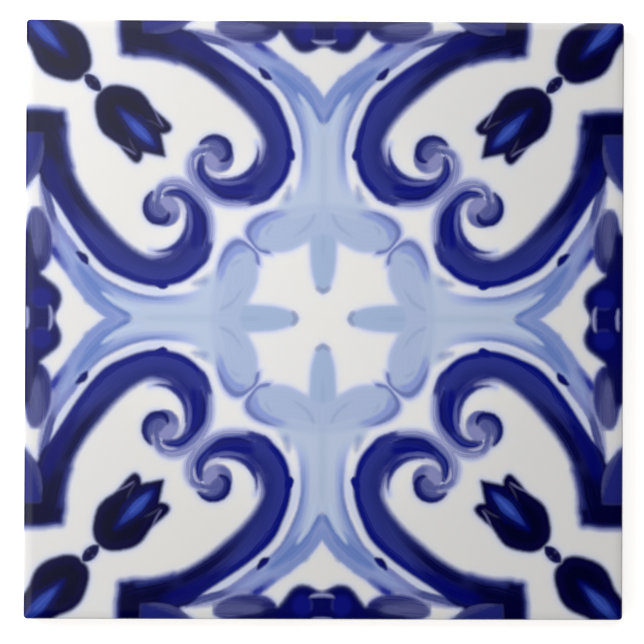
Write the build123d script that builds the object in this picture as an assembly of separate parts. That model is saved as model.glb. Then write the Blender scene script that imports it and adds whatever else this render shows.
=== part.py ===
from build123d import *
import os

# A square majolica wall tile, lying glazed face up, in millimetres.
# The origin is the centre of the back plane, +Z is the outward normal of the glazed face.
# The tile is one pressed and fired piece: a cushion-edged face, upright edges that draft in
# towards the back, and a waffle of shallow drafted pockets that keys into the adhesive.

# Overall size
face_side = 152.4
thickness = 6.4
corner_radius = 1.0

# Cushion edge of the glazed face: a shallow roll-off, then a tight arris
cushion_width = 1.8
cushion_drop = 0.28
cushion_blend_radius = 6.0
arris_radius = 0.7

# Edges: an upright land below the face, then the draft of the press die
draft_height = 2.4
draft_inset = 0.3
back_arris = 0.5

# Keying pockets in the back
pocket_count = 7
pocket_margin = 8.7
pocket_rib = 3.6
pocket_depth = 0.9
pocket_draft = 20.0
pocket_corner_radius = 1.6


def outline(inset, height):
    """The tile's outline, brought in by the inset, in the plane at that height."""
    side = face_side - 2 * inset
    return Plane.XY.offset(height) * RectangleRounded(side, side, corner_radius)


def pressed_body():
    """The tile's body from its chamfered back to the flat of its face, before any blend."""
    shoulder = thickness - cushion_drop
    sections = [
        outline(draft_inset + back_arris, 0),
        outline(draft_inset, back_arris),
        outline(0, draft_height),
        outline(0, shoulder),
        outline(cushion_width, thickness),
    ]
    return loft(sections, ruled=True)


def edges_at(body, height):
    """The body's edges that lie wholly in the plane at that height."""
    return [
        edge
        for edge in body.edges()
        if abs(edge.bounding_box().min.Z - height) < 1e-4
        and abs(edge.bounding_box().max.Z - height) < 1e-4
    ]


def keying_pockets():
    """Every pocket's cutter: square, drafted so that the pressed tile leaves the die."""
    field_side = face_side - 2 * pocket_margin
    pitch = (field_side + pocket_rib) / pocket_count
    mouth = pitch - pocket_rib
    pocket = extrude(
        RectangleRounded(mouth, mouth, pocket_corner_radius), pocket_depth, taper=pocket_draft
    )
    return [place * pocket for place in GridLocations(pitch, pitch, pocket_count, pocket_count)]


def tile():
    """The pressed and glazed tile."""
    body = pressed_body()
    body = fillet(edges_at(body, thickness - cushion_drop), arris_radius)
    body = fillet(edges_at(body, thickness), cushion_blend_radius)
    return body - keying_pockets()


os.makedirs("parts", exist_ok=True)
whole = tile()
print("volume", round(whole.volume), "solids", len(whole.solids()), "valid", whole.is_valid)
export_step(whole, "parts/tile.step")
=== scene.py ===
from math import atan2, cos, pi, radians, sin, tan

import bpy
import numpy as np
from bpy.props import FloatProperty, FloatVectorProperty, PointerProperty
from mathutils import Matrix, Vector


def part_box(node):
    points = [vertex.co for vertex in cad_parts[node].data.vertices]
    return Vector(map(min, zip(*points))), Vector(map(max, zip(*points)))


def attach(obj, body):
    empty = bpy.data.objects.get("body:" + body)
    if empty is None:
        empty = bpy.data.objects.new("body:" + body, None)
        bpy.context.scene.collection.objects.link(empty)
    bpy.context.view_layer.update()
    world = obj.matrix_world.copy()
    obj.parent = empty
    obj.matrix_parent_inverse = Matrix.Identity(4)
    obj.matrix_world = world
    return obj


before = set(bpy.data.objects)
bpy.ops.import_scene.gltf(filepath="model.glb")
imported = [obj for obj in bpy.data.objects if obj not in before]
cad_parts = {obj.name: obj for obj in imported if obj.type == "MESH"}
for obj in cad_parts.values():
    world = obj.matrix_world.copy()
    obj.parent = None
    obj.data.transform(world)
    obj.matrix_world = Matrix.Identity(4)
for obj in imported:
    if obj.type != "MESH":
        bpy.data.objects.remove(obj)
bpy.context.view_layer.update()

# A square majolica wall tile, lying face up. The fired body is the frame's own solid. This scene
# gives it a buff biscuit finish, lays a tin glaze over its face and edges as a thin closed coat,
# and paints the glaze in cobalt blue: eight mirrored copies of one small set of brush strokes.

bl_info = {
    "name": "Majolica tile",
    "version": (1, 0, 0),
    "blender": (4, 5, 0),
    "location": "View3D > Sidebar > Tile",
    "description": "Glazes and paints a majolica wall tile, and sets it on a lit floor",
    "category": "Object",
}

MM = 0.001
TILE_LOW, TILE_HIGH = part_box("tile")
HALF_SIDE = (TILE_HIGH[0] - TILE_LOW[0]) / 2 / MM
THICKNESS = (TILE_HIGH[2] - TILE_LOW[2]) / MM

# The body's cushion edge, in millimetres, as the pressed tile has it
CUSHION_WIDTH = 1.8
CUSHION_DROP = 0.28
CUSHION_BLEND = 6.0
ARRIS_RADIUS = 0.7
CORNER_RADIUS = 1.0

# The cartoon is the paper pattern that the strokes are pricked from. It is CARTOON_SIDE units
# square, measured right and down from the tile's top left corner. The strokes are drawn only
# between its vertical middle line and its diagonal, and are mirrored into the other seven parts.
CARTOON_SIDE = 598.0
CARTOON_MIDDLE = (298.5, 298.0)
UNIT = 2 * HALF_SIDE / CARTOON_SIDE
# The transfer came out a little taller than it is wide, with its middle left of the tile's and above it
TALL_STRETCH = 1.0175
TRANSFER_PLACE = (-1.64, 1.28)
# How much further out the transfer puts what is drawn near its middle line, and how much nearer its middle
SIDE_SLACK = 0.5
SIDE_SLACK_RUN = 10.0
END_SLACK = 0.35
# The depth inside a stroke that a point has where the stroke is nowhere near
FAR_AWAY = -30.0


# The brush strokes: what each one is, in the order that they are laid


class Stroke:
    """A brush stroke along a spine of (x, y, half width) points, painted across its width."""

    def __init__(self, name, spine, paint, edge=(1.6, 1.6), fade=(0.0, 0.0), hairs=0.12, ragged=0.5):
        self.name = name
        self.spine = spine
        self.paint = paint
        self.edge = edge
        self.fade = fade
        self.hairs = hairs
        self.ragged = ragged


class Leaf:
    """A closed painted shape, its outline smooth runs of points, painted from its rim inwards."""

    def __init__(self, name, runs, paint, reach, mirrored=False, edge=1.6, hairs=0.05, ragged=0.4):
        self.name = name
        self.runs = runs
        self.paint = paint
        self.reach = reach
        self.mirrored = mirrored
        self.edge = (edge, edge)
        self.hairs = hairs
        self.ragged = ragged


def single(paint, *stops):
    """One paint across a stroke, with its cover at each place."""
    return [(place, paint, cover) for place, cover in stops]


def even(paint, *covers):
    """One paint across a stroke, with its covers spread evenly over the width."""
    return single(paint, *zip(np.linspace(-1, 1, len(covers)), covers))


TULIP_PAINT = [
    (-1, "tulip_blue", 1.0), (-0.2, "tulip_blue", 1.0), (0.5, "tulip_dark", 1.0), (1, "tulip_dark", 1.0),
]
STROKES = [
    # Pale leaf work around the middle of each side
    Leaf("stem_wash", [[(272, 84), (276, 95), (278.6, 106), (280.4, 118), (281.2, 134), (280.6, 150),
           (277.6, 161), (271, 169), (262, 173.6), (255, 179), (251, 188)], [(251, 188), (280, 222),
           (312, 222)], [(312, 222), (312, 84)], [(312, 84), (272, 84)]], even("stem", 0.4, 1.0, 1.0), 10,
         edge=6.0, hairs=0.1),
    Stroke("stem_shade", [(298.5, 108, 2), (298.5, 130, 4), (298.5, 150, 5), (298.5, 175, 5), (298.5, 200, 4)],
           even("stem_deep", 0.2, 0.7, 0.2), (6, 6), (14, 20), 0.3),
    Leaf("middle_petal", [[(285.5, 205), (286.4, 219), (286.8, 232), (287.8, 246), (290.0, 257), (293.4, 265.6),
           (298.5, 271.4)], [(298.5, 271.4), (304, 265), (309, 246), (311, 205)], [(311, 205), (285.5, 205)]],
         single("petal", (-1, 0.8), (-0.3, 1.0), (1, 1.0)), 8, edge=4.4),
    Leaf("bulb", [[(300, 184), (286, 186), (275, 187.5), (262, 188.8), (250, 191.6), (240, 195.4),
           (232.6, 199.8), (227, 204.8), (224.4, 210), (225.2, 216.4), (228.4, 221.6), (233, 226.2), (239, 229),
           (248, 230.2), (258, 230.2), (267, 228.2), (275, 224.2), (282, 220), (287, 216.8)], [(287, 216.8),
           (300, 212)], [(300, 212), (300, 184)]], single("pale", (-1, 0.7), (-0.5, 1.0), (1, 1.0)), 12,
         edge=4.6),
    Stroke("bulb_gloss", [(296, 186, 4), (284, 188, 5), (272, 191, 5.5), (258, 194, 4)],
           [(-1, "stem", 0.5), (1, "pale", 0.4)], (5, 5), (4, 10), 0.3),
    Stroke("bulb_glow", [(268, 190.8, 1.6), (257, 192.8, 3), (246, 196, 4), (238, 200.6, 4.6), (232, 206, 5),
            (230, 212, 4.6), (231, 218, 3), (234, 223.4, 1.4)],
           single("glow_blue", (-1, 0.75), (-0.2, 0.75), (1, 0.1)), (6, 8), (14, 8)),
    Stroke("bulb_rim", [(266, 188.2, 1.0), (257, 189.8, 1.6), (247, 192.4, 2.2), (238.4, 196, 3),
            (231.4, 200.4, 3.7), (226.6, 205.4, 4.1), (224.4, 210.6, 4), (225.4, 216.4, 3.2),
            (228.6, 221.8, 2.2), (232, 226.4, 2), (236, 229.6, 2.2), (240.5, 230.6, 2.5), (244.6, 231.6, 2.3),
            (248, 233.2, 0.9)],
           [(-1, "dusk_blue", 0.4), (-0.2, "rim_blue", 0.85), (0.4, "rim_blue", 0.85), (1, "dusk_blue", 0.4)],
           (5.6, 5.6), (26, 3), 0.2, 0.8),
    Stroke("bulb_fold", [(291, 190, 0.8), (288.6, 197.4, 1.3), (284.8, 203.8, 1.3), (279.4, 209.2, 1.1),
            (273, 213.6, 0.9), (266, 218, 0.5)], even("fold_blue", 0.3, 0.38), (3.6, 3.6), (6, 12)),
    Stroke("bulb_curl", [(249.6, 203.6, 0.5), (246, 206.4, 1.0), (243.2, 210.6, 1.1), (242.6, 216, 0.6)],
           even("fold_blue", 0.32, 0.32), (3.4, 3.4), (2, 3)),
    Stroke("petal_tip", [(290.8, 263, 1), (293.8, 268, 1.9), (298.5, 270.4, 2.1), (303, 269, 1.9)],
           even("rim_grey", 0.6, 0.6), (4, 4), (5, 0)),
    Stroke("petal_vein", [(298.5, 212, 1.4), (298.5, 225, 1.8), (298.5, 238, 1.0)],
           even("curl_blue", 0.25, 0.25), (4, 4), (5, 8)),
    # Fronds
    Stroke("gap_wash", [(186, 25.6, 1), (198, 32, 3.4), (210, 40.6, 4.6), (222, 50, 5), (234, 61, 4.6),
            (246, 75, 4.4), (256, 90, 4.6), (264, 106, 4.8), (269.6, 122, 4.8), (272.4, 138, 4.2),
            (272.6, 152, 3)], even("gap_ice", 0.9, 0.9), (5, 5), (6, 22), 0.2),
    Stroke("frond_low", [(224, 36.5, 3.2), (233, 42.6, 4.4), (242, 49.4, 5), (250.6, 56.6, 5.2),
            (261.2, 66.4, 5.3), (268.2, 77.1, 5.2), (273, 87.7, 4.8), (277, 98.2, 4.3), (279.8, 109, 4),
            (281.2, 119.5, 3.8), (281.8, 131, 3.6), (281.4, 149, 4), (279.8, 161, 4), (276.4, 171.4, 3.8),
            (271.6, 181, 3)],
           [(-1, "wash_light", 0.65), (-0.4, "wash_light", 0.9), (0.2, "frond_blue", 0.9),
            (0.7, "frond_blue", 1.0), (1, "wash_dull", 0.85)], (4.5, 5.4), (10, 50), 0.25),
    Stroke("frond_low_core", [(252, 59.5, 1), (260, 68, 2.2), (266.5, 78, 2.6), (271.6, 89, 2.4),
            (275.8, 100, 2), (279, 111, 1.6), (281, 123, 1)],
           [(-1, "frond_blue", 0.5), (0, "frond_blue", 0.8), (1, "wash_dull", 0.8)], (3.6, 3), (8, 20), 0.3),
    Stroke("frond_high", [(196, 18, 3), (207, 22, 4.8), (218, 26.5, 6), (230, 32.2, 7.2), (242, 39.4, 8.4),
            (253.8, 47.8, 9.2), (264.6, 56.6, 9.8), (275.2, 66, 10), (285, 76.4, 9.6), (293.4, 86.4, 8.8),
            (302, 96.4, 8)],
           [(-1, "wash_dull", 0.9), (-0.5, "wash", 1.0), (0.2, "wash", 1.0), (1, "wash_light", 0.9)], (6, 4),
           (14, 0), 0.3),
    Stroke("frond_deep", [(240, 44, 1.5), (251, 51.5, 4), (262, 60, 6.6), (272, 69, 7.4), (281, 79, 7),
            (288, 89, 4.6), (293.5, 97, 3.4), (299.5, 104.5, 2.6)],
           [(-1, "sky_light", 0.6), (-0.5, "sky", 0.95), (0.2, "sky", 1.0), (1, "sky", 0.55)], (5, 5), (14, 9),
           0.3),
    Stroke("frond_edge",
           [(252, 40, 1), (264, 47.5, 2), (276, 56, 2.6), (286, 65, 2.8), (293, 75.5, 2.6), (298.5, 87, 2.4)],
           [(-1, "frond_blue", 0.6), (1, "sky_light", 0.7)], (4, 4), (10, 2), 0.3),
    Stroke("frond_lilac", [(204, 25, 2.2), (215, 31, 3.4), (225, 38.5, 3.6), (234, 46.5, 3.0), (241, 54, 1.6)],
           single("periwinkle_dull", (-1, 0.3), (0.4, 0.85), (1, 0.8)), (4, 4), (8, 8), 0.3),
    Stroke("frond_gap",
           [(271.5, 70, 0.6), (277, 78, 2), (282.5, 87, 3.2), (287, 96, 4), (290, 107, 4.6), (292, 118, 5)],
           [(-1, "gap_blue", 0.9), (0, "stem_light", 1.0), (1, "gap_blue", 0.7)], (4, 4), (8, 12), 0.1),
    Stroke("frond_apex", [(286, 84, 1.6), (291, 90.5, 2.4), (296, 97.4, 2.8), (301, 103, 2.8)],
           even("apex_blue", 0.2, 0.45), (4, 3.6), (10, 0)),
    Stroke("frond_rim", [(246, 57, 0.5), (255, 67, 1.1), (262.4, 78, 1.3), (268.2, 89, 1.3), (273, 100.4, 1.2),
            (276.8, 112, 1.1), (279.4, 124, 0.9), (280.2, 140, 0.6)], even("rim_line", 0.55, 0.45), (3, 3.4),
           (8, 18), 0.2),
    Stroke("frond_smudge", [(266.6, 160, 1), (265, 167.4, 2.8), (262.8, 175.6, 3.8), (259, 184, 4)],
           [(-1, "wash_dull", 0.35), (0, "wash_dull", 0.65), (1, "curl_blue", 0.5)], (5, 5), (8, 8), 0.3, 1.2),
    Stroke("nub_near", [(261, 43.6, 1.2), (265.6, 45, 2.2), (270, 49, 1.2)], even("wash_dull", 0.3, 0.45),
           (4, 3), (4, 4)),
    Stroke("nub_far", [(278, 54.6, 1.2), (282.6, 57.6, 2.6), (285.4, 63, 1.6)],
           [(-1, "curl_blue", 0.5), (1, "wash_dull", 0.6)], (4, 3.4), (4, 4)),
    # The indigo strand that leaves the scroll at the border
    Stroke("strand_haze", [(166, 8.6, 0.8), (175, 11, 2.2), (185, 13, 3.4), (196, 15.6, 4.6), (209, 19.6, 5.4),
            (222, 24.2, 4.8), (233, 28.6, 3)],
           [(-1, "mist", 0.6), (0, "strand_lilac", 0.85), (1, "strand_lilac", 0.9)], (4, 4), (8, 8), 0.5),
    Stroke("strand_indigo", [(160, 10.6, 1.8), (168, 13.2, 2.8), (177, 16.6, 3.4), (187, 19.4, 3.6),
            (197, 22.2, 3.4), (207, 26.6, 3.0), (217, 32.6, 2.2)],
           [(-1, "indigo", 0.7), (0, "strand_blue", 1.0), (1, "strand_blue", 0.9)], (4, 3.6), (2, 22), 0.5),
    Stroke("strand_lower",
           [(200, 25.2, 1.2), (209, 29.6, 2.2), (218, 35.6, 2.7), (227, 43, 2.6), (235.6, 50.4, 1.6)],
           even("strand_pale", 0.4, 0.7), (4, 4), (8, 8), 0.4),
    Stroke("dash_wash", [(219, 19, 3), (230, 20, 4.2), (240, 19.4, 4.4), (248, 16, 3.6), (254, 10, 2.4)],
           single("dash_mist", (-1, 0.85), (0.2, 0.8), (1, 0.35)), (5, 5), (4, 4), 0.2),
    Stroke("dash_glow", [(224, 21.6, 2), (232, 24.6, 4.6), (240, 29.4, 4.6), (248, 35, 3.4), (256, 41, 1.6)],
           even("dash_light", 0.6, 0.85, 0.5), (5, 5), (4, 10), 0.2),
    Stroke("dash_royal",
           [(228.6, 22.4, 1.2), (232, 23.6, 2.6), (236.2, 26, 2.5), (241.4, 29.6, 1.7), (248, 34, 0.8)],
           even("dash_blue", 0.95, 0.95), (4.4, 4.4), (2, 13), 0.2),
    Stroke("oblong_navy",
           [(234.6, 47.4, 0.8), (237.0, 50.6, 2.3), (240.4, 54.6, 3.5), (243.6, 57, 2.5), (246.4, 58.0, 0.8)],
           [(-1, "disc", 1.0), (1, "border_navy", 1.0)], (4.0, 4.0)),
    # Scroll: a soft haze round the eye, then the loaded brush
    Stroke("scroll_haze", [(238, 180, 1), (228, 181.6, 3), (216, 182, 4.4), (204.4, 181.4, 5),
            (193.4, 178.8, 4.8), (183.8, 172.6, 6), (175.8, 164.4, 7), (170.6, 154.5, 7.6), (168.8, 144.5, 7),
            (170.4, 136.2, 5.4), (175.6, 130.8, 3.8), (182.5, 129, 2)],
           [(-1, "mist", 0.7), (-0.5, "haze", 0.95), (0.2, "haze_deep", 1.0), (1, "slate", 1.0)], (7.0, 3.0),
           (10, 4), 0.35),
    Stroke("haze_dark", [(166.5, 138, 1.5), (170.5, 132.6, 2.6), (176.5, 129.6, 2.8), (183, 129, 1.6)],
           [(-1, "haze_deep", 0.6), (1, "slate", 0.9)], (4, 3), (4, 3), 0.4),
    Stroke("scroll_shine", [(178.6, 132.8, 0.6), (174.6, 135.8, 1.5), (172.4, 140.2, 1.9), (171.8, 145.6, 1.6),
            (172.4, 151.5, 0.8)], even("ice", 0.5, 0.65), (3.0, 2.4), (2, 6)),
    Leaf("scroll_root", [[(93.6, -14), (93.4, 6), (93.6, 15), (94.6, 21), (95.6, 27), (95.6, 33), (98.4, 35.4),
           (104.6, 35.8), (110, 37.4), (121, 37.2), (131, 38), (141, 40.2), (152, 43.6)], [(152, 43), (158, 20),
           (158, -14)], [(158, -14), (94.6, -14)]],
         [(-1, "slate", 0.9), (-0.7, "ink_blue", 1.0), (-0.35, "deep_navy", 1.0), (0.2, "night", 1.0),
          (1, "night", 1.0)], 12, edge=11.0, hairs=0.1),
    Stroke("scroll", [(112, 18.9, 13.9), (122.4, 21, 12.1), (134.2, 23, 13.1), (148, 24.4, 14.1),
            (161.2, 28.5, 15.6), (175.3, 36.8, 13.9), (192.4, 47.8, 13.7), (210, 61, 14.8), (226.2, 74.5, 15.3),
            (238.3, 87.4, 15.6), (246.2, 101, 14.2), (251.9, 114.6, 13.5), (255, 128, 12.7), (254.4, 139, 12.2),
            (251.3, 149.5, 12.6), (245.5, 158.5, 12.8), (235.5, 166.8, 12.8), (223.2, 170.7, 9.6),
            (211.4, 171.1, 8.2), (200.6, 170.9, 7.4), (191.8, 167, 5.4), (185.2, 161.2, 5), (179.8, 154.9, 5.2),
            (177.2, 148, 4.4), (177, 141, 3), (179.2, 134.2, 0.8)],
           [(-1, "rim_royal", 1.0), (-0.7, "rim_royal", 1.0), (-0.4, "bend_light", 1.0),
            (0.1, "bend_blue", 1.0), (0.7, "ink_blue", 1.0), (0.9, "ink_blue", 1.0), (1, "bristle", 1.0)],
           (5.0, 11.0), (8, 1), 0.12, 0.5),
    Stroke("scroll_tip",
           [(250, 169, 3), (242, 175, 4.4), (235, 178.8, 3.8), (228.4, 182, 2.6), (220.6, 186, 0.8)],
           [(-1, "rim_royal", 0.9), (1, "indigo", 0.9)], (4, 3.4), (10, 8)),
    Stroke("scroll_shoulder", [(138, 16, 6), (148, 15.4, 6.8), (158, 17, 7), (167, 20.8, 6), (175, 26, 4)],
           [(-1, "deep_navy", 0.9), (0, "night", 1.0), (1, "deep_navy", 0.6)], (4, 5), (8, 10), 0.2),
    Stroke("scroll_night", [(104, 12, 14), (116, 16, 13), (128, 19.6, 12), (140, 23, 11), (152, 27.6, 10),
            (164, 33.6, 9), (176, 41, 7.4)],
           [(-1, "night", 0.8), (0, "night", 1.0), (0.7, "night", 0.95), (1, "deep_navy", 0.8)], (8, 7),
           (2, 40), 0.25),
    Stroke("scroll_royal", [(132, 17, 4), (144, 18.6, 6.5), (156, 21.5, 8), (168, 27, 8.4), (180, 35, 7.6),
            (192, 44, 6.6), (204, 53.4, 5.4), (216, 63, 3.4)],
           [(-1, "royal_edge", 0.9), (-0.3, "royal", 1.0), (0.4, "royal", 0.9), (1, "royal_dark", 0.5)], (5, 7),
           (20, 34), 0.3),
    Stroke("scroll_shade", [(149.5, 31.5, 4.2), (162, 37, 5.8), (174, 43.2, 6.6), (186.4, 50.6, 6.8),
            (198.6, 59.6, 6.6), (210.6, 70.4, 6.2), (221.4, 82.6, 5.4), (230, 95.6, 3.6)],
           [(-1, "shade_navy", 0.3), (-0.2, "shade_navy", 0.95), (0.5, "shade_navy", 0.9),
            (1, "deep_navy", 0.5)], (6, 6), (16, 58), 0.3),
    Stroke("scroll_bristle", [(180, 39, 1), (191, 46.4, 2.6), (203, 55, 3.8), (215, 65.6, 4.2),
            (225.6, 77.4, 4), (234, 90, 2.6), (240, 102, 1)],
           [(-1, "bristle", 0.05), (-0.7, "bristle", 0.35), (-0.4, "ink_blue", 0.2), (0, "bristle", 0.12),
            (0.35, "bristle", 0.45), (0.6, "ink_blue", 0.2), (0.8, "bristle", 0.3), (1, "bristle", 0.05)],
           (2.6, 2.6), (14, 14), 0.2),
    Stroke("scroll_knob", [(262, 126, 2), (265.2, 131, 3.4), (266.6, 135.6, 3.8), (264.6, 140, 2.4)],
           even("rim_royal", 1.0, 1.0), (3.4, 3.4), (4, 2)),
    Stroke("scroll_inside", [(203, 164.5, 1.5), (214, 162.5, 4), (225, 156.8, 6), (233, 148.5, 6.5),
            (239.2, 138.5, 5), (242.4, 127.5, 3.4), (243, 116, 1.6)],
           [(-1, "royal_light", 0.7), (-0.3, "cobalt", 1.0), (1, "cobalt", 0.8)], (5, 5), (6, 16), 0.25),
    Stroke("inside_haze",
           [(232.5, 146, 1.0), (235.6, 139, 2.2), (237.4, 131, 2.8), (237.6, 122, 2.6), (236, 112, 1.4)],
           [(-1, "ice", 0.7), (0, "haze", 0.75), (1, "haze_deep", 0.6)], (4, 4), (5, 9), 0.2),
    Stroke("scroll_gleam", [(235, 164, 2.4), (225, 167.5, 4.2), (213, 168.6, 5), (201.5, 167, 5),
            (192, 162.6, 4.2), (186, 156.5, 2.4)], even("royal_blue", 0.5, 1.0, 0.8), (5, 4), (10, 6), 0.3),
    Stroke("scroll_under", [(231, 173, 1.4), (221, 174.8, 2.2), (210.4, 175, 2.6), (200, 173, 2.6),
            (191.4, 168.2, 2.4), (185, 161.6, 1.6)], [(-1, "deep_navy", 0.8), (1, "royal_blue", 0.6)], (3, 4),
           (5, 8), 0.3),
    Stroke("scroll_thread", [(234.6, 173.4, 0.5), (228, 176.4, 1.0), (220, 178.8, 1.0), (211, 179.8, 0.6)],
           even("thread", 0.35, 0.3), (2.8, 2.8), (4, 12)),
    # The eye of the scroll
    Leaf("eye", [[(181.5, 141), (181.6, 134), (185, 127.4), (190.6, 123.6), (197.4, 123.6), (203.4, 127.6),
           (207.4, 134), (208.2, 141), (205.0, 147.4), (199, 151.4), (191.6, 151.6), (185.4, 148.4),
           (182.4, 145), (181.5, 141)]], [(-1, "haze_deep", 0.9), (-0.4, "lilac", 1.0), (1, "lilac", 1.0)], 9,
         edge=5.0),
    Stroke("eye_low",
           [(207.4, 131, 1.2), (205.6, 138, 3), (202, 143.4, 4), (196.6, 146.4, 3.4), (190.6, 147, 1.4)],
           [(-1, "slate", 0.9), (0, "slate", 0.9), (1, "haze_deep", 0.6)], (4, 4.4), (3, 8), 0.3),
    Stroke("eye_band", [(174.6, 128, 1.6), (180.6, 124.4, 3.2), (188, 122.2, 4.4), (195.6, 124.4, 4.8),
            (199.8, 130, 4.2), (200.2, 135.6, 2.4)],
           [(-1, "bristle", 0.95), (0, "eye_slate", 0.95), (0.6, "slate", 0.9), (1, "haze_deep", 0.6)], (3, 4),
           (5, 5), 0.4),
    Stroke("eye_swirl", [(176, 131.6, 1), (181, 129.6, 1.8), (186.6, 129.2, 2.8), (192, 131.4, 3.8),
            (195.8, 135, 3.6), (199.6, 138.4, 2.2)], even("swirl_slate", 0.85, 0.8), (4, 4), (5, 4), 0.3),
    Stroke("eye_glint", [(175.6, 127.2, 0.8), (180.4, 125.6, 1.3), (185.6, 125.0, 0.8)], even("mist", 0.7, 0.6),
           (2.6, 2.6), (1, 3)),
    Stroke("eye_light", [(182, 143, 1), (182.6, 137.4, 1.6), (185.4, 133.2, 1.8), (189.4, 131.6, 1)],
           even("lilac_light", 0.5, 0.7), (3.4, 3.4), (3, 4)),
    Stroke("eye_comma", [(173.4, 126.6, 0.4), (177.4, 122.4, 1.8), (183, 119.2, 3.1), (189.8, 118.2, 4.0),
            (196.4, 120.5, 4.9), (201, 125.3, 5.4), (202.8, 131.4, 4.9), (201.4, 136.6, 4.2),
            (197.8, 139.4, 2.6), (193.4, 139.2, 1)],
           [(-1, "comma_dark", 1.0), (-0.2, "comma_blue", 1.0), (0.4, "indigo", 0.9), (1, "slate", 0.5)],
           (4.0, 4.6), (3, 3), 0.15),
    Stroke("eye_gap", [(180.6, 142.6, 0.6), (182, 148, 1.7), (185.8, 153, 2.4), (192, 155.8, 2.2),
            (200, 156.8, 1.4), (208, 156.4, 0.6)], [(-1, "mist", 0.7), (0, "ice", 0.8), (1, "mist", 0.4)],
           (3, 3.6), (5, 6), 0.2),
    Stroke("inner_thread", [(193, 159.2, 0.8), (203, 160, 2), (212, 159, 2.8), (220.2, 155.7, 3.2),
            (227, 150.3, 3.1), (231.2, 143, 2.3), (233.4, 135.2, 1.5), (233.8, 128, 1.0), (232.4, 121.4, 0.5)],
           [(-1, "cobalt", 0.85), (0.3, "cobalt", 0.95), (1, "royal_light", 0.7)], (4.4, 3.6), (5, 10), 0.15),
    Stroke("inner_pale", [(184.5, 157.4, 0.8), (192, 161.2, 1.4), (202, 163, 1.5), (212, 162.4, 1.4),
            (221, 159, 1.2), (228, 153.4, 0.8)], even("thread", 0.7, 0.5), (3.2, 3.2), (3, 16), 0.15),
    # Corner tulip and inner tulip, on the diagonal, with the bead between them
    Leaf("corner_tulip", [[(59.6, 54), (62.8, 52), (65.5, 47.6), (66.6, 41.5), (66, 35), (64.4, 28.8),
           (62.3, 22.4), (59.5, 16.4), (55.4, 11.2), (49.8, 6.8), (42.6, 3.4), (33.4, -0.6), (19, -12)],
          [(19, -12), (-8, -12)]], TULIP_PAINT, 16, mirrored=True, edge=6.0),
    Leaf("inner_tulip", [[(76.8, 71.5), (80.6, 68.3), (85.4, 66.2), (91.2, 65.4), (97.6, 66), (104.8, 67.4),
           (111.2, 69.5), (117, 73.1), (121.8, 78.5), (125.6, 84.6), (129.6, 90.2)], [(129.6, 90.2),
           (135.6, 94.9), (141.7, 100.3), (145.8, 104.9), (146.7, 108.2), (144.2, 111.7), (140.5, 113.3),
           (136.2, 113.5)], [(136.2, 113.5), (137.2, 119), (138.8, 127), (140.9, 136.8)]], TULIP_PAINT, 15,
         mirrored=True, edge=5.4),
    Leaf("bead", [[(60.4, 54.9), (65, 54.6), (69.9, 56.6), (73.9, 60.6), (76.3, 65.7), (76.8, 71.5)]],
         [(-1, "bead_rim", 1.0), (1, "tulip_blue", 1.0)], 5, mirrored=True, edge=3.4),
    Stroke("bead_glint", [(73.6, 57.6, 2.2), (70.6, 60.4, 1.6), (68.2, 62.6, 0.6)],
           even("lilac", 0.05, 0.18, 0.05), (3.4, 3.4), (0, 3)),
    Stroke("corner_flame_wide",
           [(-6, -12.7, 8), (6, -0.5, 10), (16, 9.7, 12), (27, 20.9, 10), (36, 30.0, 6.6), (46, 40.2, 1.5)],
           single("flame_blue", (-1, 0.1), (-0.5, 0.8), (0.5, 0.8), (1, 0.1)), (8, 8), (8, 10), 0.35),
    Stroke("corner_flame",
           [(2, -4.5, 3), (9, 2.6, 6), (16, 9.7, 8.4), (23.5, 17.3, 7.6), (31, 25.0, 4.4), (41, 35.1, 1)],
           single("flame", (-1, 0.05), (-0.3, 0.6), (0.3, 0.6), (1, 0.05)), (9, 9), (11, 16), 0.22),
    Stroke("corner_spark", [(9, 2.6, 2), (15, 8.7, 4.6), (21, 14.8, 5.2), (28, 21.9, 3), (36, 30.0, 0.8)],
           even("flame_core", 0.1, 0.6, 0.1), (7, 7), (8, 12), 0.25),
    Stroke("inner_flame_wide",
           [(90, 85.0, 2), (99, 94.2, 7), (108, 103.3, 11), (117, 112.5, 12), (126, 121.6, 9), (135, 130.8, 3)],
           single("flame_blue", (-1, 0.1), (-0.5, 0.8), (0.5, 0.8), (1, 0.1)), (8, 8), (5, 8), 0.35),
    Stroke("inner_flame", [(94, 89.1, 1), (101, 96.2, 3.8), (108, 103.3, 6.6), (115, 110.4, 8),
            (122, 117.6, 5.8), (131.5, 127.2, 1)],
           single("flame", (-1, 0.05), (-0.3, 0.62), (0.3, 0.62), (1, 0.05)), (8.5, 8.5), (12, 9), 0.22),
    Stroke("inner_spark",
           [(104, 99.2, 1), (110, 105.3, 3.4), (115.6, 111.0, 4.8), (121, 116.5, 3.4), (127, 122.6, 0.8)],
           even("flame_core", 0.1, 0.75, 0.1), (7, 7), (8, 6), 0.25),
    Stroke("petal_edge",
           [(129.0, 87.6, 0.4), (131, 92.6, 0.7), (133.4, 98, 0.8), (136.4, 103.2, 0.8), (139.8, 107.6, 0.5)],
           even("petal_line", 0.6, 0.55), (2.4, 2.4), (3, 3), 0.1, 0.2),
    Stroke("petal_edge_faint", [(120, 98.6, 0.4), (126, 101, 0.7), (132, 104.2, 0.8), (138.4, 108.4, 0.6)],
           even("petal_line_dim", 0.3, 0.45), (2.6, 2.6), (6, 2), 0.1, 0.2),
    # The pieces that the tile's edge cuts through
    Leaf("border_wedge", [[(117.4, -14), (117.6, 5), (118, 12.8)], [(118, 12.8), (125, 12.8), (134, 12.4),
           (142, 11.2), (150, 8.8), (158, 5.4), (165, 1.6), (171, -3), (178, -14)], [(178, -14), (117.4, -14)]],
         [(-1, "wedge_line", 0.5), (-0.4, "wedge", 0.9), (1, "wedge", 1.0)], 7, edge=4.2),
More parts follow.
